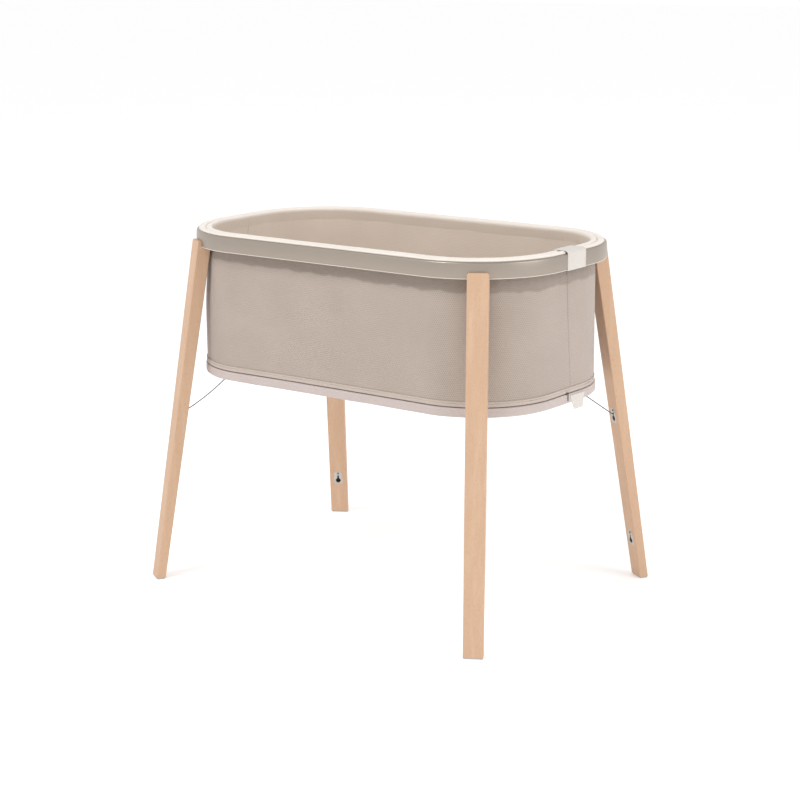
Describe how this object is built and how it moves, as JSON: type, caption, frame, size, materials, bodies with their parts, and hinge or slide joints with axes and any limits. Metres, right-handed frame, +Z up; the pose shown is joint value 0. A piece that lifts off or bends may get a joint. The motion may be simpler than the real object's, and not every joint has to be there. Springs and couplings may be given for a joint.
{
  "type": "bassinet",
  "caption": "Oval baby bassinet with a mesh-walled hanging basket in a metal rim on splayed wooden legs, with cable stays and a base that drops to a lower height",
  "frame": {"origin": "on the floor, under the middle of the bassinet", "axes": "+X along the long side, -Y the front, +Z up"},
  "size_m": [0.9271, 0.6888, 0.7912],
  "materials": {
    "rim_paint": "satin",
    "beech": "oiled",
    "glide_plastic": "matte",
    "plug_plastic": "matte",
    "plate_steel": "brushed",
    "screw_steel": "satin",
    "brass": "satin",
    "wall_mesh": "woven",
    "lining_cloth": "woven",
    "binding_cloth": "woven",
    "band_cloth": "woven",
    "webbing": "woven",
    "zip_plastic": "matte",
    "zip_metal": "satin",
    "board": "raw",
    "foam": "open cell",
    "sheet_cloth": "woven",
    "cable_steel": "satin"
  },
  "bodies": {
    "stand": {"rim_front": "rim_paint", "rim_rear": "rim_paint", "rim_joiner_left": "plug_plastic", "rim_joiner_right": "plug_plastic", "leg_front_left": "beech", "leg_front_right": "beech", "leg_rear_left": "beech", "leg_rear_right": "beech", "foot_front_left": "glide_plastic", "foot_front_right": "glide_plastic", "foot_rear_left": "glide_plastic", "foot_rear_right": "glide_plastic", "upper_plate_front_left": "plate_steel", "upper_plate_front_right": "plate_steel", "upper_plate_rear_left": "plate_steel", "upper_plate_rear_right": "plate_steel", "lower_plate_front_left": "plate_steel", "lower_plate_front_right": "plate_steel", "lower_plate_rear_left": "plate_steel", "lower_plate_rear_right": "plate_steel", "plate_screws": "screw_steel", "leg_bolts": "screw_steel", "leg_inserts": "brass", "wall_front": "wall_mesh", "wall_rear": "wall_mesh", "lining_front": "lining_cloth", "lining_rear": "lining_cloth", "binding_front": "binding_cloth", "binding_rear": "binding_cloth", "hem_band": "band_cloth", "zip_upper": "zip_plastic", "zip_slider": "zip_metal", "rim_tab": "webbing"},
    "base": {"tucked_wall_front": "wall_mesh", "tucked_wall_rear": "wall_mesh", "base_band": "band_cloth", "base_cover": "band_cloth", "base_board": "board", "zip_lower": "zip_plastic", "base_tab": "webbing", "anchor_front_left": "glide_plastic", "anchor_front_right": "glide_plastic", "anchor_rear_left": "glide_plastic", "anchor_rear_right": "glide_plastic"},
    "mattress": {"mattress_core": "foam", "mattress_cover": "sheet_cloth"},
    "zip_tag": {"zip_pull": "zip_metal"},
    "stay_line_front_left": {"stay_front_left": "cable_steel", "stop_front_left": "screw_steel"},
    "stay_line_front_right": {"stay_front_right": "cable_steel", "stop_front_right": "screw_steel"},
    "stay_line_rear_left": {"stay_rear_left": "cable_steel", "stop_rear_left": "screw_steel"},
    "stay_line_rear_right": {"stay_rear_right": "cable_steel", "stop_rear_right": "screw_steel"}
  },
  "joints": [
    {"name": "base_drop", "type": "slide", "parent": "stand", "child": "base", "axis": [0, 0, -1], "range_m": [0, 0.287], "deforming": ["stay_front_left", "stop_front_left", "stay_front_right", "stop_front_right", "stay_rear_left", "stop_rear_left", "stay_rear_right", "stop_rear_right"]},
    {"name": "mattress_lift", "type": "slide", "parent": "base", "child": "mattress", "axis": [0, 0, 1], "range_m": [0, 0.25]},
    {"name": "zip_tag_swing", "type": "hinge", "parent": "stand", "child": "zip_tag", "pos_m": [0.4444, 0.004, 0.4847], "axis": [0, -1, 0], "range_deg": [0, 110]},
    {"name": "stay_reach_front_left", "type": "slide", "parent": "base", "child": "stay_line_front_left", "axis": [-0.515, -0.8572, 0], "range_m": [0, 0.049]},
    {"name": "stay_reach_front_right", "type": "slide", "parent": "base", "child": "stay_line_front_right", "axis": [0.515, -0.8572, 0], "range_m": [0, 0.049]},
    {"name": "stay_reach_rear_left", "type": "slide", "parent": "base", "child": "stay_line_rear_left", "axis": [-0.515, 0.8572, 0], "range_m": [0, 0.049]},
    {"name": "stay_reach_rear_right", "type": "slide", "parent": "base", "child": "stay_line_rear_right", "axis": [0.515, 0.8572, 0], "range_m": [0, 0.049]}
  ],
  "couplings": [
    {"joint": "stay_reach_front_left", "follows": "base_drop", "ratio": 0.17},
    {"joint": "stay_reach_front_right", "follows": "base_drop", "ratio": 0.17},
    {"joint": "stay_reach_rear_left", "follows": "base_drop", "ratio": 0.17},
    {"joint": "stay_reach_rear_right", "follows": "base_drop", "ratio": 0.17}
  ]
}
